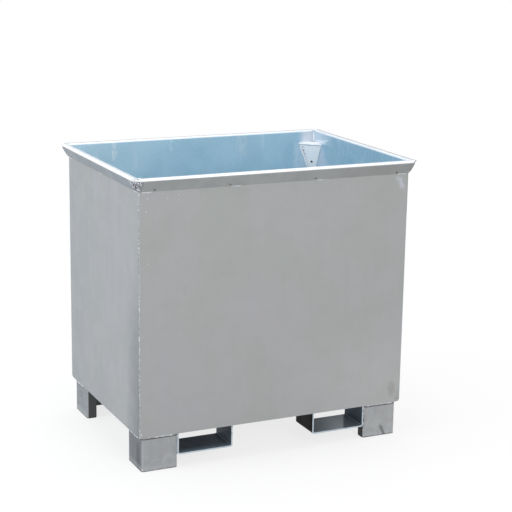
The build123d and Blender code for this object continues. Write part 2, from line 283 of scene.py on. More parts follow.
def corner_distance(graph, half):
    """Distance along a wall from the nearest corner of a box with these half sizes."""
    across = graph.minus(half.x, graph.size(graph.x))
    return graph.plus(across, graph.minus(half.y, graph.size(graph.y)))


def rim_reach(graph):
    """Distances out from the inner faces of the side walls, of the long walls, and the larger of both."""
    across = graph.minus(graph.size(graph.x), INNER.x)
    along = graph.minus(graph.size(graph.y), INNER.y)
    return across, along, graph.most(across, along)


def gusset_margin(graph, away):
    """Distance along a wall from the edge of the gusset, less than 0 in the closed pocket behind it."""
    taper = graph.times(graph.minus(graph.z, GUSSET_TIP), GUSSET_LEG / (SEAT_UNDERSIDE - GUSSET_TIP))
    return graph.minus(away, taper)


# Patterns of the hold


def sky_reflection_and_runs(graph):
    """Painted reflection of the open sky in pale blue, with flecks and runs, and streaks on the right wall.
    """
    patches = graph.span(graph.noise(3.4, 4.0), 0.34, 0.66)
    blue = graph.mix(patches, rgb(158, 194, 212), rgb(167, 201, 217))
    right_wall = graph.span(graph.nx, -0.6, -0.9)
    # painted shade on the inside of the right wall, deepest near the top
    upper = graph.span(graph.z, RIM_TOP - 0.127, RIM_TOP - 0.027, 0.25, 0.7)
    blue = graph.mix(graph.times(right_wall, upper), blue, rgb(142, 178, 199))
    leftward = graph.span(graph.x, 0.0, -0.55, 0.0, 0.75)
    blue = graph.mix(graph.times(graph.facing_front(), leftward), blue, rgb(184, 210, 221))
    streaks = graph.span(graph.noise(1.0, 4.0, (80, 80, 10)), 0.52, 0.66, 0.0, 0.45)
    blue = graph.mix(graph.times(right_wall, streaks), blue, rgb(186, 209, 221))
    flecks = graph.noise(1.0, 4.0, (170, 170, 110))
    blue = graph.mix(graph.span(flecks, 0.47, 0.34, 0.0, 0.25), blue, rgb(138, 175, 196))
    blue = graph.mix(graph.span(flecks, 0.54, 0.68, 0.0, 0.5), blue, rgb(196, 214, 224))
    runs = graph.span(graph.noise(1.0, 5.0, (17, 17, 4.5)), 0.54, 0.78, 0.0, 0.6)
    return graph.mix(runs, blue, rgb(204, 218, 227))


def blue_hold(graph, colour):
    """Painted blue sky reflection in the hold, painted light by seats and gussets, painted shade behind
    them.
    """
    away = corner_distance(graph, INNER)
    blue = graph.mix(rear_scuffs(graph), sky_reflection_and_runs(graph), rgb(222, 229, 234))
    # painted light from the seats, reflected onto the walls over them
    glow = graph.mix(graph.long_wall(), rgb(232, 239, 244), rgb(216, 216, 221))
    blue = graph.mix(seat_glow(graph, away), blue, glow)
    from_gusset = gusset_margin(graph, away)
    below = graph.span(graph.z, SEAT_TOP, SEAT_UNDERSIDE)
    # painted light from the gusset, reflected onto the walls beside it
    blue = graph.mix(graph.times(gusset_reflected_light(graph, from_gusset), below), blue, rgb(214, 222, 233))
    # painted shade in the closed pocket behind the gusset
    pocket = graph.times(graph.math("LESS_THAN", from_gusset, -0.004), below)
    blue = graph.mix(pocket, blue, PAINTED_SHADE)
    return graph.mix(inside_of_walls(graph), colour, blue)


def rear_scuffs(graph):
    """How pale the upright scuffs below the rim are, on the inside of the rear wall."""
    torn = graph.span(graph.noise(1.0, 4.0, (150, 150, 40)), 0.4, 0.62)
    total = 0.0
    for x, low, half_width, share in REAR_SCUFFS:
        aside = graph.size(graph.minus(graph.x, x))
        across = graph.span(aside, half_width, 0.4 * half_width, 0.0, share)
        scuff = graph.times(across, graph.span(graph.z, low, low + SCUFF_FADE))
        total = graph.most(scuff, total)
    return graph.times(total, torn, graph.facing_front())


def seat_glow(graph, away):
    """Painted light from a welded corner's seat: how pale the walls are over it and in a wedge past its end.
    """
    height = graph.minus(graph.z, SEAT_TOP)
    over = graph.times(welded_corner(graph), graph.span(height, -0.004, 0.004))
    ragged = graph.plus(away, graph.wander(40, 0.02))
    long_wall = graph.long_wall()
    on_long_wall = graph.times(long_wall, graph.span(ragged, 0.088, 0.045), 0.75)
    glow_haze = graph.span(ragged, 0.22, 0.05, 0.0, 0.5)
    on_side_wall = graph.times(graph.rest(long_wall), graph.most(seat_wedge(graph, height, away), glow_haze))
    return graph.times(over, graph.plus(on_long_wall, on_side_wall))


def seat_wedge(graph, height, away):
    """Painted light in a bright wedge over the end of a seat, with a top that climbs and an end that slants.
    """
    under_top = graph.minus(graph.plus(graph.times(away, WEDGE_CLIMB), WEDGE_HEIGHT), height)
    before_end = graph.minus(graph.plus(graph.times(height, WEDGE_END_SLANT), WEDGE_LENGTH), away)
    return graph.times(graph.span(under_top, 0.0, 0.005), graph.span(before_end, 0.0, 0.02), 0.85)


def gusset_reflected_light(graph, from_gusset):
    """Painted light by a gusset: how pale the walls are, in a band widening downward, most on side walls."""
    depth = graph.minus(SEAT_UNDERSIDE, graph.z)
    spread = graph.span(graph.size(graph.nx), 0.6, 0.9, 0.55, 1.4)
    over = graph.minus(from_gusset, graph.times(depth, spread))
    band = graph.span(graph.plus(over, graph.wander(30, 0.06)), 0.03, -0.04, 0.0, 0.55)
    return graph.times(band, graph.span(graph.z, GUSSET_TIP - 0.05, GUSSET_TIP + 0.06))


def gusset_back_shade(graph, colour):
    """Painted shade on a gusset's back, and painted shadow in lines where it meets the seat and the long
    wall.
    """
    wander = graph.wander(60, 0.008)
    below_seat = graph.minus(SEAT_UNDERSIDE, graph.z)
    # painted shadow on the gusset just under the seat
    line = graph.span(graph.minus(below_seat, wander), 0.006, 0.003, 0.0, 0.7)
    colour = graph.mix(line, colour, rgb(120, 130, 140))
    # painted shadow in a broken line beside the bead at the long wall
    from_long_wall = graph.plus(graph.minus(INNER.y, graph.size(graph.y)), wander)
    by_bead = graph.span(graph.size(graph.minus(from_long_wall, 0.007)), 0.004, 0.001)
    broken = graph.span(graph.noise(90, 2.0), 0.42, 0.56, 0.0, 0.8)
    high = graph.span(below_seat, 0.075, 0.03)
    colour = graph.mix(graph.times(by_bead, broken, high), colour, rgb(104, 112, 120))
    # painted shade on the back of the gusset, in the closed pocket
    return graph.mix(graph.span(graph.outward(), 0.2, 0.5), colour, PAINTED_SHADE)


def bright_lip(graph, colour):
    """Painted highlight: a white front edge on a seat."""
    return graph.mix(graph.span(graph.outward(), -0.8, -1.2), colour, rgb(250, 252, 253))


def blue_top(graph, colour):
    """Painted blue sky reflection on the upper face of the floor, more even than on the walls."""
    blue = graph.mix(0.6, sky_reflection_and_runs(graph), rgb(160, 195, 213))
    return graph.mix(graph.span(graph.nz, 0.4, 0.8), colour, blue)


# Patterns of the rim and of the outside of the walls


def white_rim(graph, colour):
    """Painted light on the rim's top: highlights and reflections in other tones along each edge and on far
    sides.
    """
    across, along, reach = rim_reach(graph)
    far_side = graph.math("GREATER_THAN", graph.x, 0.0)
    far_rear = graph.math("GREATER_THAN", graph.y, 0.0)
    far = graph.mix(graph.math("GREATER_THAN", across, along), far_rear, far_side)
    near_top = graph.mix(graph.noise(26, 3.0), rgb(178, 186, 194), rgb(188, 195, 202))
    top = graph.mix(far, near_top, rgb(202, 208, 215))
    inner = graph.mix(far, rgb(152, 166, 179), rgb(204, 212, 220))
    top = graph.mix(graph.span(reach, 0.009, 0.002), top, inner)
    outer = graph.mix(far, rgb(226, 229, 232), rgb(162, 164, 168))
    start = graph.minus(0.018, graph.times(far, 0.009))
    top = graph.mix(graph.span(graph.minus(reach, start), 0.0, 0.006), top, outer)
    below_top = graph.minus(RIM_TOP, graph.z)
    on_top = graph.times(graph.span(graph.nz, 0.0, 0.2), graph.span(below_top, 0.024, 0.018))
    return graph.mix(on_top, colour, top)


def dark_fold(graph, colour):
    """Painted shade inside the hollow of the folded rim, which is seen through its vents."""
    reach = rim_reach(graph)[2]
    over_root = graph.span(graph.z, RIM_ROOT + 0.002, RIM_ROOT + 0.004)
    inside = graph.times(over_root, graph.span(reach, 0.001, 0.002))
    outward = graph.outward()
    below_top = graph.minus(RIM_TOP, graph.z)
    web = graph.times(graph.span(outward, 0.7, 0.9), graph.span(reach, 0.007, 0.005))
    back_of_slope = graph.times(graph.span(outward, -0.2, -0.4), graph.span(below_top, 0.009, 0.011))
    under_top = graph.times(graph.span(graph.nz, -0.9, -0.98), graph.span(below_top, 0.006, 0.004))
    hollow = graph.most(web, graph.most(back_of_slope, under_top))
    return graph.mix(graph.times(inside, hollow), colour, PAINTED_SHADE)


def shaded_slope(graph, colour):
    """Painted shade on the sloping underside of the rim, which looks down, darker towards the right."""
    patches = graph.span(graph.noise(9, 4.0), 0.4, 0.7, 0.0, 0.5)
    shade_tone = graph.mix(patches, rgb(149, 152, 153), rgb(140, 142, 143))
    shade_tone = graph.mix(graph.span(graph.x, 0.0, 0.5, 0.0, 0.55), shade_tone, rgb(132, 133, 132))
    shade_tone = graph.mix(graph.span(graph.nx, -0.4, -0.7), shade_tone, rgb(132, 140, 147))
    return graph.mix(graph.span(graph.nz, -0.2, -0.4), colour, shade_tone)


def corner_smear(graph, colour):
    """Speckled weld stain on the side rims, beside the plates in the welded corners."""
    reach = graph.plus(graph.size(graph.x), graph.size(graph.y))
    line = sum(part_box("front_right_wall")[1].xy) - SMEAR_LINE
    width = graph.span(graph.z, RIM_ROOT, RIM_TOP, 0.004, 0.034)
    near = graph.span(graph.plus(graph.minus(reach, line), width), 0.0, 0.005)
    side = graph.span(graph.size(graph.nx), 0.4, 0.7)
    slope = graph.span(graph.nz, -0.2, -0.4)
    grain = graph.span(graph.noise(150, 2.0), 0.4, 0.62)
    stain = graph.mix(grain, rgb(92, 96, 101), rgb(206, 211, 216))
    return graph.mix(graph.times(near, side, slope, welded_corner(graph), 0.85), colour, stain)


def side_streaks_and_shade(graph, colour):
    """Side walls slightly darker, in streaks and to the rear, with painted shade low down by a welded
    corner.
    """
    side = graph.side_wall()
    streak = graph.span(graph.noise(1.0, 4.0, (60, 60, 1.6)), 0.4, 0.62, 0.15, 0.5)
    share = graph.plus(streak, graph.span(graph.y, 0.0, 0.38, 0.0, 0.3))
    colour = graph.mix(graph.times(side, share), colour, rgb(146, 151, 156))
    # painted shade low on the side walls beside a welded corner
    from_seam = graph.plus(graph.minus(OUTER.y, graph.size(graph.y)), graph.wander(7, 0.05))
    by_seam = graph.times(welded_corner(graph), graph.span(from_seam, 0.17, 0.0))
    low = graph.span(graph.z, 1.0, 0.3)
    return graph.mix(graph.times(side, by_seam, low, 0.9), colour, rgb(115, 120, 125))


def front_light_and_stains(graph, colour):
    """Painted light, paler low on the right of the front wall, and brownish stains by its bent corner."""
    front = graph.facing_front()
    # painted light: paler low on the right of the front wall
    low_right = graph.times(graph.span(graph.x, -0.1, 0.5), graph.span(graph.z, 0.6, 0.25))
    colour = graph.mix(graph.times(front, low_right, 0.35), colour, rgb(172, 174, 173))
    torn = graph.wander(45, 1.6)
    for x, z, half_width, half_height, share in FRONT_STAINS:
        across = graph.times(graph.minus(graph.x, x), 1 / half_width)
        upright = graph.times(graph.minus(graph.z, z), 1 / half_height)
        away = graph.plus(graph.times(across, across), graph.times(upright, upright))
        stain = graph.span(graph.plus(away, torn), 1.1, -0.2, 0.0, share)
        colour = graph.mix(graph.times(front, stain), colour, rgb(141, 140, 137))
    return colour


def pale_bloom(graph, colour):
    """Pale bluish bloom under the rim of the long walls, beside a bent corner."""
    below_rim = graph.minus(RIM_ROOT, graph.z)
    lean = graph.times(graph.minus(below_rim, BLOOM_DEPTH), BLOOM_LEAN)
    slanted = graph.plus(corner_distance(graph, OUTER), lean)
    off_centre = graph.size(graph.minus(graph.plus(slanted, graph.wander(70, 0.04)), BLOOM_MIDDLE))
    bent_corner = graph.rest(welded_corner(graph))
    near = graph.times(graph.span(off_centre, 0.022, 0.0), graph.long_wall(), bent_corner)
    high = graph.times(graph.span(below_rim, 0.078, 0.045), graph.span(below_rim, 0.004, 0.026))
    return graph.mix(graph.times(near, high, 0.75), colour, rgb(182, 184, 196))


# Patterns of the feet, loops and beads


def side_of_foot(graph):
    """1 on the faces of a foot that look to the left or the right."""
    return graph.span(graph.size(graph.nx), 0.75, 0.95)


def foot_sides(graph, colour):
    """Side faces in painted shade, a dark band by the bend of a front foot, dashes and a dark end on a rear
    one.
    """
    front = graph.front_half()
    side = side_of_foot(graph)
    # painted shade on the side faces of the feet, deepest on the front feet
    shade_tone = graph.mix(front, rgb(134, 139, 144), rgb(94, 99, 103))
    colour = graph.mix(graph.times(side, 0.85), colour, shade_tone)
    # painted reflection of the dark ground, in a band beside the bend of a front foot
    from_bend = graph.minus(FOOT_FRONT, graph.size(graph.y))
    band = graph.times(graph.span(from_bend, 0.075, 0.045), graph.span(from_bend, 0.014, 0.03))
    low = graph.span(graph.z, 0.13, 0.08, 0.15, 1.0)
    colour = graph.mix(graph.times(band, side, front, low, 0.85), colour, rgb(72, 76, 80))
    dashes = graph.span(graph.noise(1.0, 2.0, (14, 14, 120)), 0.58, 0.66, 0.0, 0.45)
    dark_end = graph.span(from_bend, 0.012, 0.002, 0.0, 0.6)
    rear_marks = graph.times(side, graph.rest(front), graph.most(dashes, dark_end))
    return graph.mix(rear_marks, colour, rgb(88, 92, 96))


def foot_smears(graph, colour):
    """Dark smears, pale blotches low on the front and rear, and a faint painted highlight on the bend."""
    smear = graph.span(graph.noise(1.0, 4.0, (18, 18, 8)), 0.54, 0.74, 0.0, 0.45)
    colour = graph.mix(smear, colour, rgb(122, 126, 130))
    blotch = graph.span(graph.noise(28, 4.0), 0.46, 0.68, 0.0, 0.32)
    low = graph.span(graph.z, 0.11, 0.04)
    colour = graph.mix(graph.times(blotch, low, graph.rest(side_of_foot(graph))), colour, rgb(180, 182, 184))
    # painted highlight along the outer bend of a foot
    outside = graph.span(graph.outward(), 0.5, 1.0)
    bend = graph.times(graph.size(graph.nx), graph.size(graph.ny), outside)
    broken = graph.span(graph.noise(30, 3.0), 0.42, 0.6, 0.0, 0.25)
    return graph.mix(graph.times(graph.span(bend, 0.25, 0.48), broken), colour, rgb(186, 190, 193))


def foot_edges(graph, colour):
    """Bright and dark lower edge, a scrape, painted shadow in dashes under the bead, and painted shade on
    lips.
    """
    height = graph.plus(graph.z, graph.wander(60, 0.010))
    bright = graph.times(graph.span(height, 0.034, 0.010), graph.span(height, 0.002, 0.006))
    colour = graph.mix(graph.times(bright, 0.35), colour, rgb(176, 179, 183))
    lean = graph.times(graph.z, SCRAPE_LEAN)
    aside = graph.size(graph.plus(graph.minus(graph.x, SCRAPE_FOOT), lean))
    scrape = graph.times(graph.span(aside, 0.012, 0.002), graph.span(graph.z, 0.055, 0.035))
    colour = graph.mix(graph.times(scrape, graph.front_half(), 0.75), colour, rgb(88, 90, 91))
    colour = graph.mix(graph.span(height, 0.005, 0.001, 0.0, 0.75), colour, rgb(98, 97, 95))
    # painted shadow in dashes under the bead over the foot
    under = graph.minus(WALL_BOTTOM, graph.z)
    under_bead = graph.times(graph.span(under, 0.008, 0.0095), graph.span(under, 0.0155, 0.0135))
    dashes = graph.span(graph.noise(1.0, 2.0, (45, 45, 200)), 0.38, 0.5, 0.3, 0.9)
    colour = graph.mix(graph.times(under_bead, dashes), colour, rgb(70, 73, 76))
    # painted shade on the lips, which face in under the bin
    lip = graph.mix(graph.right_half(), rgb(74, 76, 77), rgb(44, 46, 48))
    return graph.mix(graph.span(graph.outward(), -0.3, -0.7), colour, lip)


def loop_floors(graph, colour):
    """Painted light and shade: floors pale with a shaded side in right loops, dark with paler ends in left
    ones.
    """
    level = graph.span(graph.nz, 0.8, 0.97)
    streak = graph.noise(1.0, 3.0, (60, 9, 9))
    right = graph.times(level, graph.right_half())
    sweep = graph.span(graph.x, LOOP_MIDDLE - 0.1, LOOP_MIDDLE + 0.06)
    tone = graph.mix(sweep, rgb(124, 133, 141), rgb(196, 204, 211))
    colour = graph.mix(right, colour, graph.mix(graph.times(streak, 0.4), tone, rgb(156, 165, 172)))
    inward = graph.times(graph.plus(graph.y, FOOT_FRONT), LOOP_SHADE_SLANT)
    past_line = graph.minus(graph.minus(graph.x, LOOP_MIDDLE + LOOP_SHADE), inward)
    shaded = graph.span(past_line, 0.0, 0.014, 0.0, 0.8)
    colour = graph.mix(graph.times(right, shaded), colour, rgb(72, 82, 92))
    left = graph.times(level, graph.rest(graph.right_half()))
    colour = graph.mix(left, colour, graph.mix(streak, rgb(62, 70, 79), rgb(84, 92, 101)))
    sweep = graph.span(graph.x, -LOOP_MIDDLE - 0.02, -LOOP_MIDDLE + 0.1, 0.0, 0.8)
    colour = graph.mix(graph.times(left, sweep), colour, rgb(102, 110, 120))
    ragged = graph.plus(graph.size(graph.y), graph.times(streak, 0.03))
    at_end = graph.span(ragged, FOOT_FRONT - 0.0325, FOOT_FRONT + 0.0145, 0.0, 0.8)
    return graph.mix(graph.times(left, at_end), colour, rgb(124, 142, 156))


def loop_sides(graph, colour):
    """Painted shade on side faces that look to the left: inside each loop, and outside the right ones."""
    facing_left = graph.span(graph.nx, -0.8, -0.97)
    right_side = graph.span(graph.x, LOOP_MIDDLE - 0.01, LOOP_MIDDLE + 0.01)
    colour = graph.mix(graph.times(facing_left, right_side), colour, rgb(90, 102, 113))
    past_left_middle = graph.span(graph.x, -LOOP_MIDDLE - 0.01, -LOOP_MIDDLE + 0.01)
    inside_left = graph.times(facing_left, graph.rest(graph.right_half()), past_left_middle)
    upward = graph.span(graph.z, WALL_BOTTOM - 0.08, WALL_BOTTOM - 0.02)
    colour = graph.mix(inside_left, colour, graph.mix(upward, rgb(110, 119, 129), rgb(60, 66, 73)))
    outside_right = graph.times(facing_left, graph.rest(right_side), graph.right_half())
    return graph.mix(outside_right, colour, rgb(6, 6, 7))


def loop_ends(graph, colour):
    """A painted highlight along the bends, and bright cut ends with dark chips."""
    bend = graph.times(graph.size(graph.nx), graph.span(graph.nz, 0.2, 0.5))
    colour = graph.mix(graph.span(bend, 0.4, 0.7, 0.0, 0.9), colour, rgb(168, 184, 194))
    chips = graph.span(graph.noise(110, 2.0), 0.6, 0.68)
    end = graph.mix(chips, rgb(188, 200, 208), rgb(112, 114, 116))
    return graph.mix(graph.span(graph.size(graph.ny), 0.8, 0.95), colour, end)


def seam_sides(graph, colour):
    """Painted light and shade on the bead in a welded corner: a bright front and a dark side."""
    front = graph.span(graph.size(graph.ny), 0.75, 0.92, 0.0, 0.7)
    colour = graph.mix(front, colour, rgb(182, 188, 193))
    return graph.mix(graph.times(graph.side_wall(), 0.7), colour, rgb(108, 112, 117))


# Materials, each a mottled coat of zinc with patterns over it


def mottled(graph, dark, light):
    """Soft clouds and fine grain of a dipped coat."""
    cloud = graph.noise(3.2, 4.0)
    streak = graph.noise(1.0, 3.0, (34, 34, 2.2))
    total = graph.plus(graph.times(cloud, 0.75), graph.times(streak, 0.25))
    colour = graph.mix(graph.span(total, 0.36, 0.64), dark, light)
    specks = graph.span(graph.noise(420, 2.0), 0.6, 0.75, 0.0, 0.3)
    return graph.mix(specks, colour, dark, "MULTIPLY")


def speckles(scale, start, tone):
    """Pattern of specks in one tone, denser for a lower start."""
    def over(graph, colour):
        return graph.mix(graph.span(graph.noise(scale, 2.0), start, start + 0.08), colour, rgb(*tone))

    return over


def zinc(name, dark, light, *features, metallic=0.45, specular=0.5):
    """Zinc coat in two tones, with its own patterns over them."""
    graph = Graph(name)
    colour = mottled(graph, rgb(*dark), rgb(*light))
    for feature in features:
        colour = feature(graph, colour)
    roughness = graph.span(graph.noise(9.0, 4.0), 0.3, 0.7, 0.42, 0.6)
    height = graph.plus(graph.noise(320, 3.0), graph.times(graph.noise(14, 2.0), 2.0))
    return graph.finish(colour, roughness, metallic, height, bump=0.2, specular=specular)


def plate_materials():
    """Materials of the walls and plates, by name."""
    outside = (side_streaks_and_shade, front_light_and_stains, pale_bloom)
    rim = (shaded_slope, corner_smear, white_rim, dark_fold)
    foot = (foot_sides, foot_smears, foot_edges)
    loop = (loop_floors, loop_sides, loop_ends)
    pits = speckles(150, 0.64, (104, 110, 116))
    few_specks = speckles(170, 0.7, (120, 126, 132))
    return {
        "wall": zinc("wall_zinc", (154, 157, 155), (158, 158, 161), *outside, blue_hold, *rim),
        "floor": zinc("floor_zinc", (140, 143, 145), (152, 155, 157), blue_top),
        # painted light: the seats, the gussets and the beads inside the hold are near white, as lit by the
        # sky
        "seat": zinc("seat_zinc", (205, 202, 208), (230, 225, 229), pits, bright_lip, metallic=0.1),
        "gusset": zinc("gusset_zinc", (240, 243, 244), (248, 249, 249), few_specks, gusset_back_shade, metallic=0.0),
        "foot": zinc("foot_zinc", (148, 150, 152), (160, 162, 164), *foot),
        # painted shade: the loops' whole coat is dark, as under the bin
        "loop": zinc("loop_zinc", (58, 64, 72), (72, 78, 87), *loop, metallic=0.2, specular=0.06),
        "bent_corner": zinc("bent_corner_zinc", (142, 144, 150), (158, 160, 167)),
    }


def weld_materials():
    """Materials of the beads, fills and drops, and of the plates in the welded rim corners, by name."""
    # painted glints: bright specks that stand in for highlights on the bumps of the welds
    bright = speckles(150, 0.56, (246, 248, 250))
    fine_bright = speckles(210, 0.56, (226, 230, 234))
    dark = speckles(120, 0.6, (70, 72, 74))
    fine_dark = speckles(190, 0.55, (96, 100, 106))
    dense_dark = speckles(130, 0.52, (52, 54, 57))
    return {
        "corner": zinc("corner_zinc", (104, 107, 112), (134, 137, 142), dark, bright),
        "seam": zinc("seam_zinc", (128, 132, 136), (158, 162, 166), seam_sides, fine_dark, fine_bright),
        # painted light: pale coat on the stitches, which face down under the rim
        "stitch": zinc("stitch_zinc", (192, 195, 198), (220, 222, 224), dark),
        "bead": zinc("bead_zinc", (176, 181, 186), (214, 218, 222), dark, bright),
        "loop_bead": zinc("loop_bead_zinc", (150, 154, 158), (178, 182, 186), dense_dark),
        # painted light: near white coat on the beads over the feet, which face down
        "foot_bead": zinc("foot_bead_zinc", (226, 230, 233), (246, 248, 249), dark, metallic=0.2),
        "drop": zinc("drop_zinc", (186, 190, 194), (204, 208, 211)),
        # painted light, as pale as the top of the rim
        "rim": zinc("rim_fill_zinc", (214, 221, 229), (226, 231, 237)),
    }


# Weld beads and drops of zinc


def fillet_section(first, second, reach):
    """Quarter round in the corner between two faces, which dips into both of them."""
    pad = BEAD_SINK / max(reach)
    section = [(first + second) * -BEAD_SINK]
    for side in range(BEAD_SIDES + 1):
        turn = -pad + (math.pi / 2 + 2 * pad) * side / BEAD_SIDES
        section.append(first * (math.cos(turn) * reach[0]) + second * (math.sin(turn) * reach[1]))
    return section


def round_section(along, radius):
    """Circle square to a direction."""
    first = along.orthogonal().normalized()
    second = along.cross(first).normalized()
    turns = [math.tau * side / (2 * BEAD_SIDES) for side in range(2 * BEAD_SIDES)]
    return [(first * math.cos(turn) + second * math.sin(turn)) * radius for turn in turns]


class Metal:
    """Rippled beads, drops and fills that are gathered into one mesh."""

    def __init__(self, seed):
        self.points = []
        self.faces = []
        self.random = random.Random(seed)

    def bead(self, start, end, section, pitch=0.008, depth=0.25):
        """A bead along a line, with a section that swells at each ripple and shrinks at the ends."""
        length = (end - start).length
        reach = max(offset.length for offset in section)
        ripples = max(2, round(length / pitch))
        rings = ripples * RINGS_A_RIPPLE
        swells = [self.random.uniform(*RIPPLE_SIZES) for _ in range(ripples + 1)]
        base = len(self.points)
        for ring in range(rings + 1):
            share = ring / rings
            phase = share * ripples
            valley = 1 - abs(math.sin(math.pi * phase))
            to_end = min(share, 1 - share) * length
            taper = min(1.0, BEAD_END + (1 - BEAD_END) * to_end / reach)
            swell = swells[int(phase)] * (1 - depth * valley) * taper
            centre = start.lerp(end, share)
            self.points += [centre + offset * swell for offset in section]
        self.skin(base, rings, len(section))

    def drop(self, place, out, radius, tall, height):
        """A low drop on an upright face, tall up that face and high off it by shares of its radius."""
        across = Vector((abs(out.y), abs(out.x), 0)) * radius
        along = UP * radius * tall
        base = len(self.points)
        for ring in range(DROP_RINGS + 1):
            turn = math.pi / 2 * DROP_COVER * ring / DROP_RINGS
            lifted = out * (height * radius * (math.sin(turn) - DROP_SINK))
            for side in range(DROP_SIDES):
                angle = math.tau * side / DROP_SIDES
                flat = (across * math.cos(angle) + along * math.sin(angle)) * math.cos(turn)
                self.points.append(place + flat + lifted)
        self.skin(base, DROP_RINGS, DROP_SIDES)

    def plug(self, middle, across, back):
        """A corner filled with weld metal: flat on top, with a hollow front that fades downward."""
        base = len(self.points)
        for ring in range(DROP_RINGS + 1):
            share = ring / DROP_RINGS
            lowered = DOWN * (RIM_FILL_DROP + RIM_FILL_DEPTH * share)
            front = max(RIM_FILL_TIP, (1 - share) ** RIM_FILL_FADE)
            for side in range(DROP_SIDES + 1):
                turn = 2 * side / DROP_SIDES - 1
                hollow = back * (RIM_FILL_HOLLOW * (1 - turn * turn))
                edge = middle + hollow + across * turn
                self.points.append((middle + back).lerp(edge, front) + lowered)
            self.points.append(middle + back * RIM_FILL_ROOT + lowered)
        self.skin(base, DROP_RINGS, DROP_SIDES + 2)

    def skin(self, base, rings, size):
        """Faces between the rings of the newest piece, and over both of its ends."""
        for ring in range(rings):
            low = base + ring * size
            for side in range(size):
                following = (side + 1) % size
                self.faces.append((low + side, low + following, low + size + following, low + size + side))
        self.faces.append(tuple(reversed(range(base, base + size))))
        self.faces.append(tuple(range(base + rings * size, base + (rings + 1) * size)))

    def fillet(self, box, axis, first, second, grow=1.0, **options):
        """A bead in the box of a plain one, with its root at the edge that both directions leave."""
        low, high = box
        ends = []
        for limit in box:
            lean = first + second
            point = Vector([low[index] if lean[index] > 0 else high[index] for index in range(3)])
            point[axis] = limit[axis]
            ends.append(point)
        size = high - low
        reach = [abs(direction.dot(size)) * grow for direction in (first, second)]
        self.bead(*ends, fillet_section(first, second, reach), **options)

    def make(self, name, material, *nodes):
        """The object, in the place of any plain weld nodes."""
        mesh = bpy.data.meshes.new(name)
        mesh.from_pydata([tuple(point) for point in self.points], [], self.faces)
        shaped = bmesh.new()
        shaped.from_mesh(mesh)
        bmesh.ops.recalc_face_normals(shaped, faces=shaped.faces)
        shaped.to_mesh(mesh)
        shaped.free()
        mesh.polygons.foreach_set("use_smooth", [True] * len(mesh.polygons))
        mesh.materials.append(material)
        piece = bpy.data.objects.new(name, mesh)
        bpy.context.scene.collection.objects.link(piece)
        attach(piece, "root")
        if nodes:
            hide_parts(*nodes)


def solids_of(node):
    """Corner points of each separate solid in a node."""
    shaped = bmesh.new()
    shaped.from_mesh(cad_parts[node].data)
    bmesh.ops.remove_doubles(shaped, verts=shaped.verts, dist=1e-6)
    left = set(shaped.verts)
    solids = []
    while left:
        queue = [left.pop()]
        points = []
        while queue:
            vertex = queue.pop()
            points.append(vertex.co.copy())
            for edge in vertex.link_edges:
                other = edge.other_vert(vertex)
                if other in left:
                    left.remove(other)
                    queue.append(other)
        solids.append(sorted(points, key=tuple))
    shaped.free()
    return sorted(solids, key=place_of)


def place_of(points):
    """Box of a solid as plain numbers, which put solids in the same order on each run."""
    return [round(value, 4) for corner in box_of(points) for value in corner]


def box_of(points):
    low = Vector([min(point[index] for point in points) for index in range(3)])
    high = Vector([max(point[index] for point in points) for index in range(3)])
    return low, high


def ends_of(points):
    """Middles of the two ends of a straight bead."""
    far = max(points, key=lambda point: (point - points[0]).length)
    near = max(points, key=lambda point: (point - far).length)
    run = far - near
    ends = []
    for limit in (near, far):
        close = [point for point in points if abs((point - limit).dot(run.normalized())) < 0.25 * run.length]
        ends.append(sum(close, Vector()) / len(close))
    return ends


def longest_axis(box):
    size = box[1] - box[0]
    return max(range(3), key=lambda index: size[index])


def outward_along(box, axis):
    """Level direction along an axis, away from the middle of the bin."""
    direction = Vector()
    direction[axis] = math.copysign(1, box[0][axis] + box[1][axis])
    return direction


def seam_beads(corner, seed, materials):
    """Beads of one welded corner: outside, and inside below and above the seat."""
    node = f"{corner}_seam_weld"
    outer = Metal(seed)
    inner = Metal(seed + 50)
    for points in solids_of(node):
        box = box_of(points)
        out_x = outward_along(box, 0)
        out_y = outward_along(box, 1)
        if abs(box[0].x + box[1].x) / 2 > INNER.x:
            outer.fillet(box, 2, out_x, out_y, grow=1.25, pitch=0.015, depth=0.4)
        else:
            inner.fillet(box, 2, -out_x, -out_y)
    outer.make(f"{corner}_seam_bead", materials["seam"], node)
    inner.make(f"{corner}_inner_seam_bead", materials["seat"], node)


def level_beads(name, node, seed, material, upright, turn, grow=(1.0, 1.0), **options):
    """Beads along walls or feet, each leaning up or down and out (1) or in (-1), with a size by axis."""
    metal = Metal(seed)
    for points in solids_of(node):
        box = box_of(points)
        axis = longest_axis(box)
        facing = outward_along(box, 1 - axis) * turn
        metal.fillet(box, axis, facing, upright, grow=grow[axis], **options)
    metal.make(name, material, node)


def seat_bead_radius(start, end, run):
    """Thick under the front of a seat and down a gusset on a long wall, thin elsewhere."""
    if abs(run.x * run.y) > 0.2:
        return SEAT_FRONT_BEAD
    on_long_wall = min(abs(start.y), abs(end.y)) > INNER.y - 0.01
    return LONG_WALL_BEAD if on_long_wall and abs(run.z) > 0.1 else SEAT_BEAD


def seat_beads(materials):
    """Beads along the seats, and down both sides of the gussets."""
    metal = Metal(22)
    for points in solids_of("seat_welds"):
        start, end = ends_of(points)
        run = (end - start).normalized()
        section = round_section(run, seat_bead_radius(start, end, run))
        metal.bead(start, end, section, pitch=0.007, depth=0.3)
    metal.make("seat_beads", materials["seat"], "seat_welds")


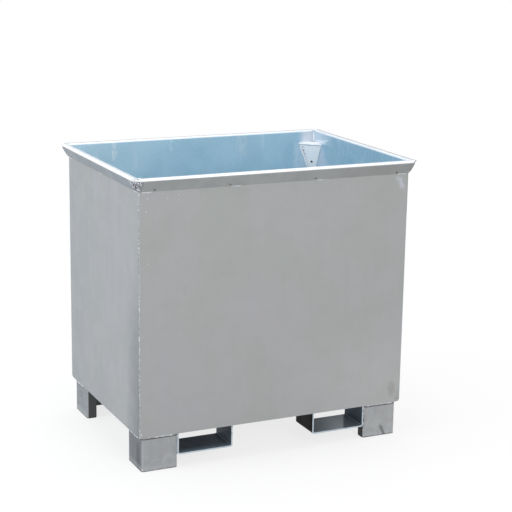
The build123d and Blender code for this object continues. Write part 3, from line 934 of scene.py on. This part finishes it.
def loop_beads(materials):
    """Beads beside the fork loops."""
    metal = Metal(23)
    for points in solids_of("fork_loop_welds"):
        box = box_of(points)
        axis = longest_axis(box)
        if axis == 1:
            metal.fillet(box, axis, -outward_along(box, 0), DOWN, pitch=0.01)
        else:
            start, end = ends_of(points)
            metal.bead(start, end, round_section(UP, LOOP_BEAD), pitch=0.009, depth=0.3)
    metal.make("loop_beads", materials["loop_bead"], "fork_loop_welds")


def rim_corner_fills(materials):
    """Weld metal run across the inner edge of the rim at both welded corners."""
    metal = Metal(24)
    for turn in (-1, 1):
        corner = Vector((turn * INNER.x, turn * INNER.y, RIM_TOP))
        across = Vector((turn, -turn, 0)) * RIM_FILL / 2
        back = Vector((turn, turn, 0)) * RIM_FILL / 2
        metal.plug(corner - back, across, back)
    metal.make("rim_corner_fills", materials["rim"])


def zinc_drops(materials):
    """Pimples of zinc on the walls, and drops on the edges of two feet and of the front wall."""
    metal = Metal(25)
    front = Vector((0, -1, 0))
    for x, z, radius in FRONT_PIMPLES:
        metal.drop(Vector((x, -OUTER.y, z)), front, radius, tall=1.0, height=0.5)
    for x, y, z, radius in EDGE_DROPS:
        metal.drop(Vector((x, y, z)), front, radius, tall=1.5, height=0.6)
    for _ in range(WALL_DROPS):
        radius = metal.random.uniform(*WALL_DROP_RADII)
        z = metal.random.uniform(WALL_BOTTOM + WALL_DROP_MARGIN, RIM_ROOT - WALL_DROP_MARGIN)
        turn = metal.random.choice((-1, 1))
        on_side_wall = metal.random.random() < 0.5
        along = metal.random.uniform(-0.9, 0.9)
        if on_side_wall:
            place = Vector((turn * OUTER.x, along * OUTER.y, z))
            out = Vector((turn, 0, 0))
        else:
            place = Vector((along * OUTER.x, OUTER.y, z))
            out = Vector((0, 1, 0))
        metal.drop(place, out, radius, tall=1.4, height=0.5)
    metal.make("zinc_drops", materials["drop"])


def rim_corner_beads(materials):
    """Beads round the plates in the rim's corners: lumpy in the welded corners, ground in the bent ones."""
    top = Metal(21)
    side = Metal(26)
    ground = Metal(27)
    for points in solids_of("rim_corner_welds"):
        start, end = ends_of(points)
        run = (end - start).normalized()
        if start.x * start.y < 0:
            ground.bead(start, end, round_section(run, RIM_GROUND_BEAD))
        elif abs(run.z) < 0.1:
            over = run * RIM_TOP_OVERHANG
            top.bead(start - over, end + over, round_section(run, RIM_TOP_BEAD), depth=0.3)
        else:
            aside = away_from_corner((start + end) / 2) * RIM_SIDE_SHIFT
            side.bead(start + aside, end + aside, round_section(run, RIM_SIDE_BEAD), depth=0.35)
    top.make("rim_corner_top_beads", materials["bead"], "rim_corner_welds")
    side.make("rim_corner_side_beads", materials["corner"], "rim_corner_welds")
    ground.make("rim_corner_ground_beads", materials["bent_corner"], "rim_corner_welds")


def away_from_corner(place):
    """Level direction along a wall's outside, from the nearest corner of the walls towards a place."""
    out = Vector((math.copysign(1, place.x), math.copysign(1, place.y), 0)).normalized()
    corner = Vector((math.copysign(OUTER.x, place.x), math.copysign(OUTER.y, place.y), place.z))
    offset = place - corner
    return (offset - out * offset.dot(out)).normalized()


# Materials and welds on the bin


def dress_nodes(materials):
    """Gives each CAD node the material that goes with the ending of its name."""
    endings = {
        "wall": ("_wall",),
        "floor": ("floor_plate",),
        "seat": ("_stacking_seat",),
        "gusset": ("_seat_gusset",),
        "corner": ("front_left_rim_corner_plate", "rear_right_rim_corner_plate"),
        "bent_corner": ("front_right_rim_corner_plate", "rear_left_rim_corner_plate"),
        "foot": ("_foot",),
        "loop": ("_fork_loop",),
        "bead": ("_weld", "_welds"),
    }
    for kind, names in endings.items():
        for name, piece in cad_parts.items():
            if name.endswith(names):
                for slot in piece.material_slots:
                    slot.material = materials[kind]


def add_welds(materials):
    """Rippled beads in the place of the plain weld nodes, with the fills and drops that have none."""
    seam_beads("front_left", 11, materials)
    seam_beads("rear_right", 12, materials)
    level_beads("rim_stitch_beads", "rim_stitch_welds", 13, materials["stitch"], DOWN, 1)
    foot_bead = materials["foot_bead"]
    level_beads("foot_beads", "foot_welds", 14, foot_bead, DOWN, 1, FOOT_BEADS, pitch=0.012, depth=0.3)
    level_beads("floor_beads", "floor_welds", 15, materials["seat"], UP, -1, pitch=0.01)
    rim_corner_beads(materials)
    seat_beads(materials)
    loop_beads(materials)
    rim_corner_fills(materials)
    zinc_drops(materials)


# Stage, light and camera


def light_mix(tree, seen, lit, shown):
    """Shader that is one thing as a light, and another to the camera and to shiny metal."""
    path = tree.nodes.new("ShaderNodeLightPath").outputs
    share = path["Is Camera Ray"]
    steps = [("MAXIMUM", path["Is Glossy Ray"]), ("MAXIMUM", path["Is Transmission Ray"])]
    if seen is not None:
        steps.append(("MULTIPLY", seen))
    for operation, value in steps:
        step = tree.nodes.new("ShaderNodeMath")
        step.operation = operation
        tree.links.new(share, step.inputs[0])
        tree.links.new(value, step.inputs[1])
        share = step.outputs[0]
    mixed = tree.nodes.new("ShaderNodeMixShader")
    for index, socket in enumerate((share, lit, shown)):
        tree.links.new(socket, mixed.inputs[index])
    return mixed.outputs[0]


def add_floor():
    """White floor that keeps a soft shadow beside the bin."""
    graph = Graph("floor_white")
    tone = graph.mix(graph.noise(3.0), rgb(236, 236, 236), rgb(240, 240, 240))
    matt = graph.add("ShaderNodeBsdfDiffuse", {"Color": tone})
    glow = graph.add("ShaderNodeEmission", {"Color": (1, 1, 1, 1), "Strength": 1.0})
    distance = graph.add("ShaderNodeVectorMath", {0: graph.place}, operation="LENGTH").outputs["Value"]
    seen = graph.span(distance, SHADOW_NEAR, SHADOW_FAR, FLOOR_WHITE, 1.0)
    surface = light_mix(graph.tree, seen, matt.outputs[0], glow.outputs[0])
    output = graph.add("ShaderNodeOutputMaterial")
    graph.tree.links.new(surface, output.inputs["Surface"])
    bpy.ops.mesh.primitive_plane_add(size=60)
    floor = bpy.context.object
    floor.name = "floor"
    floor.data.materials.append(graph.material)


def add_world():
    """White surroundings, dimmer as a light than as a background."""
    world = bpy.data.worlds.new("studio")
    bpy.context.scene.world = world
    world.use_nodes = True
    tree = world.node_tree
    tree.nodes.clear()
    shades = []
    for strength in (SKY_AS_LIGHT, SKY_AS_SEEN):
        shade = tree.nodes.new("ShaderNodeBackground")
        shade.inputs["Color"].default_value = (1, 1, 1, 1)
        shade.inputs["Strength"].default_value = strength
        shades.append(shade.outputs[0])
    output = tree.nodes.new("ShaderNodeOutputWorld")
    tree.links.new(light_mix(tree, None, *shades), output.inputs["Surface"])


def add_softbox(name, place, size, power, colour=(1, 1, 1)):
    """Round soft light that faces the middle of the bin."""
    lamp = bpy.data.lights.new(name, "AREA")
    lamp.shape = "DISK"
    lamp.size = size
    lamp.energy = power
    lamp.color = colour
    piece = bpy.data.objects.new(name, lamp)
    bpy.context.scene.collection.objects.link(piece)
    piece.location = place
    piece.rotation_euler = (BIN_MIDDLE - piece.location).to_track_quat("-Z", "Y").to_euler()


def add_lights():
    add_softbox("top_softbox", place=(0.4, 0.6, 5.0), size=4.0, power=132)
    add_softbox("left_softbox", place=(-4.5, -0.1, 2.6), size=2.5, power=124, colour=(0.9, 0.95, 1.0))
    add_softbox("front_softbox", place=(1.0, -9.0, 4.5), size=4.0, power=300)


def add_camera():
    """Camera at the photo's viewpoint, from a fit to the bin's straight edges."""
    place = Vector((-2.5344, -5.6030, 2.2518))
    heading = math.radians(25.223)  # from +Y towards +X
    dip = math.radians(13.705)
    roll = math.radians(0.923)
    lens_share = 1464.3 / 512  # focal length over the picture's width
    camera = bpy.data.cameras.new("camera")
    camera.sensor_width = 36.0
    camera.lens = camera.sensor_width * lens_share
    camera.clip_end = 100
    piece = bpy.data.objects.new("camera", camera)
    bpy.context.scene.collection.objects.link(piece)
    turn = Matrix.Rotation(-heading, 4, "Z")
    tilt = Matrix.Rotation(math.pi / 2 - dip, 4, "X")
    piece.matrix_world = Matrix.Translation(place) @ turn @ tilt @ Matrix.Rotation(roll, 4, "Z")
    bpy.context.scene.camera = piece


materials = plate_materials() | weld_materials()
dress_nodes(materials)
add_welds(materials)
add_floor()
add_world()
add_lights()
add_camera()
bpy.context.scene.view_settings.view_transform = "Standard"
